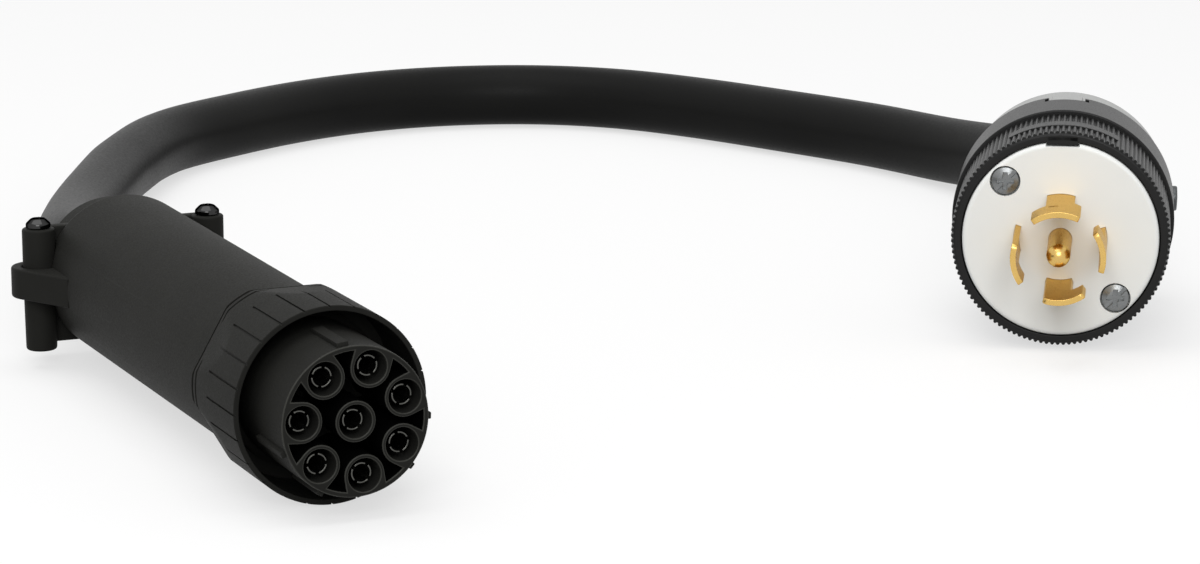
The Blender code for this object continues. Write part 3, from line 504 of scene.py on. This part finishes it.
block(groove, (0, RING_RADIUS - GROOVE_DEPTH + CUT_PAST, (RING_FRONT + CUT_PAST + GROOVE_END) / 2),
      (GROOVE_WIDTH, 2 * CUT_PAST, RING_FRONT + CUT_PAST - GROOVE_END), edge=0.08)
grooves = copied_round(groove.copy(), groove, GROOVES - 1, 360 / GROOVES, 360 / GROOVES, black_polyamide)
shape = carved(sleeve, grooves)
settle("ring_moulding", shape, CONNECTOR, black_polyamide, "black_plastic", "coupling_ring", body="ring")

# Hood: a long plain sleeve of the same black polyamide over the connector's back. It is moulded with a
# closed rear end round the cable, an ear at each side for the clamp, and hollows where the posts stand.
HOOD_RADIUS = 20.6
HOOD_FRONT, HOOD_REAR = -47.3, -176.5
CLAMP_SPREAD = 23.15
POST_RADIUS = 4.3
POST_SPACE = POST_RADIUS + 0.3
EAR_RADIUS = 7.4
EAR_FRONT = -19.0
EAR_ROOT = 12.7
EAR_STEP = 0.5
EAR_HALF = 4.0
FLARED_RADIUS = 21.2
HOOD_BORE = 17.8
END_WALL_FRONT = -168.5
CABLE_BORE = 11.05
CUT_HALF = 30

CLAMP = stand_at((-131.8, 81.0, 23.3), (0, 0, 0))
clamp_on_connector = CONNECTOR.inverted() @ CLAMP

sleeve, space = bmesh.new(), bmesh.new()
turned(sleeve, [(HOOD_RADIUS, HOOD_FRONT, 0.4), (FLARED_RADIUS, HOOD_REAR, 1.3),
                (CABLE_BORE, HOOD_REAR, 0.5), (CABLE_BORE, END_WALL_FRONT, 0),
                (HOOD_BORE, END_WALL_FRONT, 0), (HOOD_BORE, HOOD_FRONT, 0.2)], sides=144)
for side in (-1, 1):
    turned(space, [(0, CUT_HALF, 0), (POST_SPACE, CUT_HALF, 0), (POST_SPACE, -CUT_HALF, 0),
                   (0, -CUT_HALF, 0)], sides=48,
           move=clamp_on_connector @ Matrix.Translation((side * CLAMP_SPREAD, 0, 0)))
shape = carved(sleeve, space)
ears = bmesh.new()
foot = (HOOD_RADIUS + EAR_STEP, EAR_FRONT)
touch = 180 + math.degrees(math.atan2(CLAMP_SPREAD - foot[0], -EAR_FRONT)) - math.degrees(
    math.acos(EAR_RADIUS / math.hypot(CLAMP_SPREAD - foot[0], EAR_FRONT)))
ear = [(EAR_ROOT, EAR_FRONT), foot] + arc(EAR_RADIUS, touch, 0, steps=24, middle=(CLAMP_SPREAD, 0))
ear.append((EAR_ROOT, EAR_RADIUS))
for side in (-1, 1):
    plate(ears, [[(side * x, y) for x, y in ear], circle(POST_SPACE, (side * CLAMP_SPREAD, 0), sides=32)],
          EAR_HALF, -EAR_HALF, edge=0.6)
pour(ears, shape, clamp_on_connector)
settle("hood_moulding", shape, CONNECTOR, black_polyamide, "black_plastic", "hood")

# Clamp saddles: two black polyamide half clamps behind the hood, an arch with two webs over the cable and a
# block under it. Their posts meet inside the hood's ears, where the two screws pull them together.
SADDLE_FRONT, SADDLE_REAR = -177.0, -190.0
SADDLE_HALF = 21.7
SADDLE_SPLIT = 4.3
ARCH_RADIUS = 18.3
BLOCK_BOTTOM = -17.2
POST_TOP, POST_BOTTOM = 14.0, -18.5
POST_FOOT = 4.05
POST_SPLIT = 0.15
WEB_REAR = -180.6
WEB_MIDDLE, WEB_WIDTH = 18.2, 9.6
SADDLE_ROUND = 0.8

lean = math.degrees(math.acos(SADDLE_SPLIT / ARCH_RADIUS))
grip = math.degrees(math.acos(SADDLE_SPLIT / CABLE_BORE))
over = arc(ARCH_RADIUS, -lean, lean, steps=48) + arc(CABLE_BORE, grip, -grip, steps=32)
under = ([(-SADDLE_HALF, -SADDLE_SPLIT), (-SADDLE_HALF, BLOCK_BOTTOM), (SADDLE_HALF, BLOCK_BOTTOM),
          (SADDLE_HALF, -SADDLE_SPLIT)] + arc(CABLE_BORE, 180 - grip, 180 + grip, steps=32))
for name, outline, post in (
        ("upper", over, [(0, POST_TOP, 0), (POST_RADIUS, POST_TOP, 0.7), (POST_RADIUS, POST_SPLIT, 0),
                         (0, POST_SPLIT, 0)]),
        ("lower", under, [(0, -POST_SPLIT, 0), (POST_RADIUS, -POST_SPLIT, 0), (POST_FOOT, POST_BOTTOM, 0.9),
                          (0, POST_BOTTOM, 0)])):
    shape = bmesh.new()
    plate(shape, [outline], SADDLE_FRONT, SADDLE_REAR, SADDLE_ROUND)
    for side in (-1, 1):
        if name == "upper":
            block(shape, (side * WEB_MIDDLE, (SADDLE_SPLIT + POST_TOP) / 2, (SADDLE_FRONT + WEB_REAR) / 2),
                  (WEB_WIDTH, POST_TOP - SADDLE_SPLIT, SADDLE_FRONT - WEB_REAR), edge=SADDLE_ROUND)
        turned(shape, post, sides=48,
               move=clamp_on_connector @ Matrix.Translation((side * CLAMP_SPREAD, 0, 0)))
    settle(f"{name}_half_clamp", shape, CONNECTOR, black_polyamide, "black_plastic", f"{name}_clamp_saddle")

# Clamp screws: black-finished steel pan heads with a cross recess, driven down through the upper posts
# into the lower ones. Only the head and the start of the shank are drawn.
HEAD_SEAT = POST_TOP + 0.3
HEAD_TOP = HEAD_SEAT + 2.4
PAN_RADIUS, PAN_SIDE, PAN_FLAT = 3.25, 1.0, 1.8
SHANK_RADIUS, SHANK_END = 1.75, 9.0
CONE_SHARE = 0.3


def cross_recess(top, width, length, depth):
    """The cutters of a cross recess, sunk below the top of a head: two bars and a cone."""
    bars = [bmesh.new(), bmesh.new()]
    for bar, angle in zip(bars, (0, 90)):
        block(bar, (0, 0, top - depth / 2 + CUT_PAST / 2), (width, length, depth + CUT_PAST),
              angle, edge=0.08)
    cone = bmesh.new()
    turned(cone, [(0, top + CUT_PAST / 2, 0), (length * CONE_SHARE, top + CUT_PAST / 2, 0),
                  (0, top - depth, 0)], sides=24)
    return [*bars, cone]


# Black oxide under oil on steel: glossy and almost black.
black_steel = finish("black_oxide_steel", ("333333", "3f3f3f"), patch_mm=2.0, grain_mm=0.3, relief_mm=0.001,
                     rough=(0.05, 0.1), Metallic=1.0, Specular_Tint=linear("1c1c1c"))
head = bmesh.new()
turned(head, [(0, HEAD_TOP, 0), (PAN_FLAT, HEAD_TOP, 1.4), (PAN_RADIUS, HEAD_SEAT + PAN_SIDE, 0.9),
              (PAN_RADIUS, HEAD_SEAT, 0.1), (SHANK_RADIUS, HEAD_SEAT, 0), (SHANK_RADIUS, SHANK_END, 0),
              (0, SHANK_END, 0)], sides=48)
head = carved(head, *cross_recess(HEAD_TOP, width=0.8, length=3.6, depth=1.3))
bmesh.ops.translate(head, verts=head.verts, vec=(CLAMP_SPREAD, 0, 0))
shape = copied_round(head.copy(), head, count=1, first=180, step=180, material=black_steel)
settle("clamp_screws", shape, CLAMP, black_steel, "black_steel", "clamp_screw_left", "clamp_screw_right")

# Cable: a heavy round flexible cord with a smooth black rubber jacket, extruded over its five wires. It
# leaves the clamp, sinks to the floor, runs round in one wide bend and rises into the plug. Its length is
# that of the route below, which starts just inside the hood and ends inside the housing.
CABLE_RADIUS = 10.75
ROUTE = (
    (-131.8, 70.0, 23.3), (-131.8, 97.5, 23.3), (-131.8, 111.5, 23.3),
    (-128.8, 135.8, 20.2), (-118.8, 173.8, 15.6), (-104.8, 214.8, 12.0), (-86.8, 256.8, 10.75),
    (-66.8, 296.8, 10.75), (-39.8, 336.8, 10.75), (-4.8, 362.8, 10.75), (27.2, 379.8, 10.75),
    (57.2, 387.8, 10.75), (86.2, 386.8, 10.75), (113.2, 376.8, 10.75), (135.2, 357.8, 10.75),
    (152.2, 329.8, 10.75), (168.2, 292.8, 10.75), (183.2, 253.8, 10.75), (191.2, 211.8, 11.5),
    (191.2, 168.8, 15.6), (182.2, 127.8, 22.4), (155.738, 78.845, 30.3), (148.319, 66.973, 30.3),
    (140.9, 55.1, 30.3), (128.182, 34.747, 30.3),
)

# Rubber jacket straight from the die: soft black with a faint broad sheen and an even grain.
jacket_rubber = finish("jacket_rubber", ("171717", "1d1d1c"), patch_mm=30.0, grain_mm=0.8, relief_mm=0.015,
                       rough=(0.36, 0.46), Specular_IOR_Level=0.05)
path = bpy.data.curves.new("cable_jacket", "CURVE")
path.dimensions = "3D"
path.bevel_depth = CABLE_RADIUS * MM
path.bevel_resolution = 12
path.resolution_u = 10
path.use_fill_caps = True
path.materials.append(jacket_rubber)
spline = path.splines.new("BEZIER")
spline.bezier_points.add(len(ROUTE) - 1)
run = [Vector(p) * MM for p in ROUTE]
for i, point in enumerate(spline.bezier_points):
    before, after = run[max(i - 1, 0)], run[min(i + 1, len(run) - 1)]
    ahead = after - before
    if run[i].z <= CABLE_RADIUS * MM:
        ahead.z = 0.0
    ahead.normalize()
    point.co = run[i]
    point.handle_left = run[i] - ahead * (run[i] - before).length / 3
    point.handle_right = run[i] + ahead * (after - run[i]).length / 3
    point.handle_left_type = point.handle_right_type = "FREE"
cable = bpy.data.objects.new("cable_jacket", path)
bpy.context.scene.collection.objects.link(cable)
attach(cable, "lead")
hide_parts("cable")

# Plug face: a thick disc of white nylon, moulded with slots for the blades, a hole for the pin and seats
# for two screws, which are drawn shallow. It drops into the front of the body, keyed at the top.
FACE_RADIUS, FACE_RIM = 26.2, 1.3
FACE_STEP = -3.0
FACE_INNER = 26.0
FACE_REAR = -12.0
BLADE_ANGLES = (0, 90, 180, 270)
BLADE_MIDDLE = 11.7
BLADE_HALF = 3.6
BLADE_THICK = 1.5
SLOT_GAP = 0.07
PIN_HOLE = 3.22
SCREW_SEAT = 4.1
SCREW_CIRCLE = 21.6
SCREW_ANGLE = 136.0
SINK_BOTTOM = -2.6
KEY_HALF = 4.5
KEY_FLOOR = 25.1
KEY_CUT = 4.0

PLUG = stand_at((99.566, -11.048, 30.3), (90, 0, -32))

# Moulded nylon: a dense white with a soft shine and slight clouding.
white_nylon = finish("white_nylon", ("f3f5f3", "f7f8f5"), patch_mm=9.0, grain_mm=0.6, relief_mm=0.006,
                     rough=(0.36, 0.48))
disc, sinks, key = bmesh.new(), bmesh.new(), bmesh.new()
turned(disc, [(0, 0, 0), (FACE_RADIUS, 0, FACE_RIM), (FACE_RADIUS, FACE_STEP, 0.1),
              (FACE_INNER, FACE_STEP - 0.1, 0), (FACE_INNER, FACE_REAR, 0.3), (0, FACE_REAR, 0)], sides=120)
slot_angle = math.degrees((BLADE_HALF + SLOT_GAP) / BLADE_MIDDLE)
slot_out, slot_in = BLADE_MIDDLE + BLADE_THICK / 2 + SLOT_GAP, BLADE_MIDDLE - BLADE_THICK / 2 - SLOT_GAP
slots = [arc(slot_out, a - slot_angle, a + slot_angle, steps=16)
         + arc(slot_in, a + slot_angle, a - slot_angle, steps=16) for a in BLADE_ANGLES]
seats = [circle(SCREW_SEAT, around(a, SCREW_CIRCLE), sides=40) for a in (SCREW_ANGLE, SCREW_ANGLE - 180)]
plate(sinks, [circle(PIN_HOLE, sides=40)] + slots + seats, CUT_PAST, SINK_BOTTOM, edge=0.02)
block(key, (0, KEY_FLOOR + KEY_CUT / 2, -CUT_PAST), (2 * KEY_HALF, KEY_CUT, KEY_CUT), edge=0.02)
shape = carved(disc, sinks, key)
settle("face_moulding", shape, PLUG, white_nylon, "white_nylon", "plug_face")

# Blades: four curved pieces stamped from brass sheet, each with a hook at its tip that locks behind the
# outlet's contacts when the plug is turned. They are held in the face by their tails.
BLADE_TOP, BLADE_TAIL = 26.0, -15.0
HOOK_TIP = -7.4
HOOK_UNDER = 14.8
TAB_TIP = 5.4
TAB_UNDER = 10.0
SLIT_HEIGHT = 17.2
SLIT_SIZE = (2.6, 2.0, 1.0)
SLIT_ANGLE = -8
BEND_STEP = 0.5
BEND_CUTS = range(-15, 12)

# Rolled brass: warm yellow metal, a little uneven in tone and shine.
rolled_brass = finish("rolled_brass", ("cfa95e", "ddba70"), patch_mm=4.0, grain_mm=0.35, relief_mm=0.003,
                      rough=(0.2, 0.34), Metallic=1.0, Specular_Tint=linear("f2e0b8"))


def blade(outlines):
    """One blade: cut flat, then bent round the plug's axis."""
    part, bent = bmesh.new(), bmesh.new()
    plate(part, outlines, BLADE_THICK / 2, -BLADE_THICK / 2, edge=0.1)
    for i in BEND_CUTS:
        bmesh.ops.bisect_plane(part, geom=part.verts[:] + part.edges[:] + part.faces[:],
                               plane_co=(i * BEND_STEP, 0, 0), plane_no=(1, 0, 0))
    for vert in part.verts:
        along, height, off = vert.co
        vert.co = (*around(math.degrees(along / BLADE_MIDDLE), BLADE_MIDDLE + off), height)
    pour(part, bent)
    return bent


hook = [(HOOK_TIP, BLADE_TOP, 1.0), (HOOK_TIP, HOOK_UNDER, 0.5), (-BLADE_HALF, HOOK_UNDER, 0.4),
        (-BLADE_HALF, BLADE_TAIL, 0), (BLADE_HALF, BLADE_TAIL, 0)]
tab = [(BLADE_HALF, TAB_UNDER, 0.4), (TAB_TIP, TAB_UNDER, 0.4), (TAB_TIP, BLADE_TOP, 1.0)]
hooked = rounded(hook + [(BLADE_HALF, BLADE_TOP, 1.3)], closed=True)
tabbed = rounded(hook + tab, closed=True)
slit = bmesh.new()
block(slit, (0, BLADE_MIDDLE + BLADE_THICK / 2, SLIT_HEIGHT), SLIT_SIZE, SLIT_ANGLE, edge=0.05)
shape = copied_round(carved(blade([tabbed]), slit), blade([hooked]), count=3, first=90, step=90,
                     material=rolled_brass)
settle("locking_blades", shape, PLUG, rolled_brass, "brass",
       "blade_top", "blade_right", "blade_bottom", "blade_left")

# Centre pin: a round brass pin with a domed tip, turned and pressed into the middle of the face.
PIN_RADIUS = 3.15
PIN_TOP = 24.0
DOME_STEPS = 12

shape = bmesh.new()
dome = [(PIN_RADIUS * math.sin(a), PIN_TOP - PIN_RADIUS * (1 - math.cos(a)), 0)
        for a in (math.pi / 2 * i / DOME_STEPS for i in range(DOME_STEPS + 1))]
turned(shape, dome + [(PIN_RADIUS, BLADE_TAIL, 0), (0, BLADE_TAIL, 0)], sides=48)
settle("centre_pin", shape, PLUG, rolled_brass, "brass", "ground_pin")

# Assembly screws: zinc-plated steel with a slotted cross recess, sunk in the face and run through to the
# rear housing to hold the plug together.
SCREW_HEAD, SCREW_EDGE = 3.8, -0.5
SCREW_DOME = 0.3
CROWN_RADIUS, CROWN_TOP = 2.0, 0.2
SCREW_UNDER, SCREW_END = -2.5, -62
SCREW_SHANK = 1.9
SCREW_SLOT = (1.1, 9.0, 2.0)

# Zinc on steel: grey metal, a little cloudy.
zinc_steel = finish("zinc_plated_steel", ("6e7071", "878989"), patch_mm=2.5, grain_mm=0.3, relief_mm=0.004,
                    rough=(0.26, 0.4), Metallic=1.0)
head = bmesh.new()
turned(head, [(0, SCREW_DOME, 0), (CROWN_RADIUS, CROWN_TOP, 0.8), (SCREW_HEAD, SCREW_EDGE, 0.4),
              (SCREW_HEAD, SCREW_UNDER, 0.1), (SCREW_SHANK, SCREW_UNDER, 0), (SCREW_SHANK, SCREW_END, 0),
              (0, SCREW_END, 0)], sides=48)
groove = bmesh.new()
block(groove, (0, 0, 0), SCREW_SLOT, angle=45, edge=0.05)
head = carved(head, *cross_recess(CROWN_TOP, width=1.4, length=4.8, depth=2.2), groove)
bmesh.ops.translate(head, verts=head.verts, vec=(*around(SCREW_ANGLE, SCREW_CIRCLE), 0))
shape = copied_round(head.copy(), head, count=1, first=180, step=180, material=zinc_steel)
settle("face_screws", shape, PLUG, zinc_steel, "zinc_steel", "assembly_screw_1", "assembly_screw_2")

# Plug body: a black nylon moulding round the face, with fine grip ridges broken by a plain strip on top,
# and a smooth raised band behind them. A notch in its rear edge takes the housing's tab.
GRIP_ROOT = 28.65
GRIP_REAR = -29.0
RIDGES = 120
RIDGE_TOP = 29.2
BAND_RADIUS = 30.3
BAND_REAR = -52.0
LIP_FRONT_EDGE, LIP_INNER = -1.0, 26.5
LEDGE, LEDGE_INNER = -12.3, 25.4
SPIGOT_SPACE, SPIGOT_STOP = 27.3, -44.0
NOTCH_SIZE = (10.0, 9.0, 10.0)
NOTCH_CORNER, NOTCH_CORNER_SIZE = 5.6, (1.0, 9.0, 4.0)
STRIP_ANGLE = 30
STRIP_OUT, STRIP_IN = 29.35, 28.0
STRIP_FRONT, STRIP_REAR = -10.4, -16.6
KEY_MIDDLE, KEY_SIZE = (0, 26.6, -5.5), (2 * KEY_HALF - 0.6, 2.4, 9.0)
TOOTH = ((-0.74, 28.4), (-0.42, 28.95), (-0.2, RIDGE_TOP), (0.2, RIDGE_TOP), (0.42, 28.95), (0.74, 28.4))
RIDGE_FRONT, RIDGE_OVERLAP = -1.6, 0.2

# Moulded nylon, dyed black: satin, with a slightly finer grain than the connector's.
black_nylon = finish("black_nylon", ("131313", "1a1a1a"), patch_mm=12.0, grain_mm=0.35, relief_mm=0.010,
                     rough=(0.34, 0.46), Specular_IOR_Level=0.2)
shell, notch, ridge = bmesh.new(), bmesh.new(), bmesh.new()
turned(shell, [(GRIP_ROOT, LIP_FRONT_EDGE, 0.7), (GRIP_ROOT, GRIP_REAR, 0), (BAND_RADIUS, GRIP_REAR, 0.5),
               (BAND_RADIUS, BAND_REAR, 0.5), (SPIGOT_SPACE, BAND_REAR, 0.2),
               (SPIGOT_SPACE, SPIGOT_STOP, 0),
               (LEDGE_INNER, SPIGOT_STOP, 0), (LEDGE_INNER, LEDGE, 0), (LIP_INNER, LEDGE, 0),
               (LIP_INNER, LIP_FRONT_EDGE, 0.3)], sides=144)
block(notch, (0, BAND_RADIUS, BAND_REAR), NOTCH_SIZE, edge=0.5)
for side in (-1, 1):
    block(notch, (side * NOTCH_CORNER, BAND_RADIUS, BAND_REAR + NOTCH_CORNER_SIZE[2]),
          NOTCH_CORNER_SIZE, edge=0.1)
shell = carved(shell, notch)
plate(shell, [arc(STRIP_OUT, -STRIP_ANGLE, STRIP_ANGLE, steps=40)
              + arc(STRIP_IN, STRIP_ANGLE, -STRIP_ANGLE, steps=40)],
      STRIP_FRONT, STRIP_REAR, edge=0.15)
block(shell, KEY_MIDDLE, KEY_SIZE, edge=0.25)
plate(ridge, [TOOTH], RIDGE_FRONT, GRIP_REAR - RIDGE_OVERLAP, edge=0.06)
shape = copied_round(shell, ridge, count=RIDGES, first=0, step=360 / RIDGES, material=black_nylon)
settle("body_moulding", shape, PLUG, black_nylon, "black_nylon", "plug_body")

# Rear housing: a light grey nylon cap whose spigot enters the body. It rounds in to the cable, and its
# tab at the top shows in the body's notch.
HOUSING_RADIUS = 28.6
HOUSING_FRONT, HOUSING_REAR = -52.3, -78.0
HOUSING_ROUND = 10.0
SPIGOT_RADIUS, SPIGOT_FRONT, SPIGOT_INNER = 27.0, -44.3, 24.0
REAR_WALL = -57.0
TAB_MIDDLE, TAB_SIZE = (0, 27.95, -51.8), (8.6, 3.9, 8.4)

# Light grey moulded nylon: pale, satin, evenly grained.
grey_nylon = finish("grey_nylon", ("a2a3a2", "adaeac"), patch_mm=11.0, grain_mm=0.5, relief_mm=0.010,
                    rough=(0.42, 0.55))
shape = bmesh.new()
turned(shape, [(SPIGOT_RADIUS, SPIGOT_FRONT, 0.4), (SPIGOT_RADIUS, HOUSING_FRONT, 0),
               (HOUSING_RADIUS, HOUSING_FRONT, 0.5), (HOUSING_RADIUS, HOUSING_REAR, HOUSING_ROUND),
               (CABLE_BORE, HOUSING_REAR, 0.8), (CABLE_BORE, REAR_WALL, 0), (SPIGOT_INNER, REAR_WALL, 0),
               (SPIGOT_INNER, SPIGOT_FRONT, 0.2)], sides=144)
block(shape, TAB_MIDDLE, TAB_SIZE, edge=0.5)
settle("housing_moulding", shape, PLUG, grey_nylon, "grey_plastic", "rear_housing")

# Cord clamp screw: a slotted zinc-plated steel screw in the housing's side that presses a jaw on the
# cable.
CORD_SCREW_BACK = -64.0
CORD_HEAD_OUT, CORD_HEAD_UNDER, CORD_HEAD = 31.4, 28.9, 3.5
CORD_SHANK, CORD_SHANK_END = 2.2, 14.4
CORD_SLOT = (1.0, 9.0, 2.4)

# Zinc on steel, set darker and duller than the screws in the face.
dull_zinc = finish("dull_zinc_steel", ("47494a", "5a5c5d"), patch_mm=2.5, grain_mm=0.3, relief_mm=0.004,
                   rough=(0.34, 0.48), Metallic=1.0)
head = bmesh.new()
turned(head, [(0, CORD_HEAD_OUT, 0), (CORD_HEAD, CORD_HEAD_OUT - 0.2, 0.6),
              (CORD_HEAD, CORD_HEAD_UNDER, 0.1), (CORD_SHANK, CORD_HEAD_UNDER, 0),
              (CORD_SHANK, CORD_SHANK_END, 0), (0, CORD_SHANK_END, 0)], sides=48)
groove = bmesh.new()
block(groove, (0, 0, CORD_HEAD_OUT), CORD_SLOT, angle=20, edge=0.05)
head = carved(head, groove)
shape = bmesh.new()
pour(head, shape, Matrix.Translation((0, 0, CORD_SCREW_BACK)) @ Matrix.Rotation(math.radians(90), 4, "Y"))
settle("cord_screw", shape, PLUG, dull_zinc, "zinc_steel", "cord_clamp_screw")

# Inside the housings: five insulated wires to each end, brass terminal screws behind the face and the cord
# clamp's steel jaw, all out of sight. They keep their CAD shapes.

# Soft extruded insulation on the wires: dark and smooth.
wire_cover = finish("wire_insulation", ("38383a", "46464a"), patch_mm=6.0, grain_mm=0.5, relief_mm=0.004,
                    rough=(0.4, 0.5))
inner = {f"{end}_wire_{i}": wire_cover for end in ("connector", "plug") for i in range(1, 6)}
inner.update({f"terminal_screw_{i}": rolled_brass for i in range(1, 6)}, cord_clamp_jaw=zinc_steel)
for node, material in inner.items():
    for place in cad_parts[node].material_slots:
        place.material = material
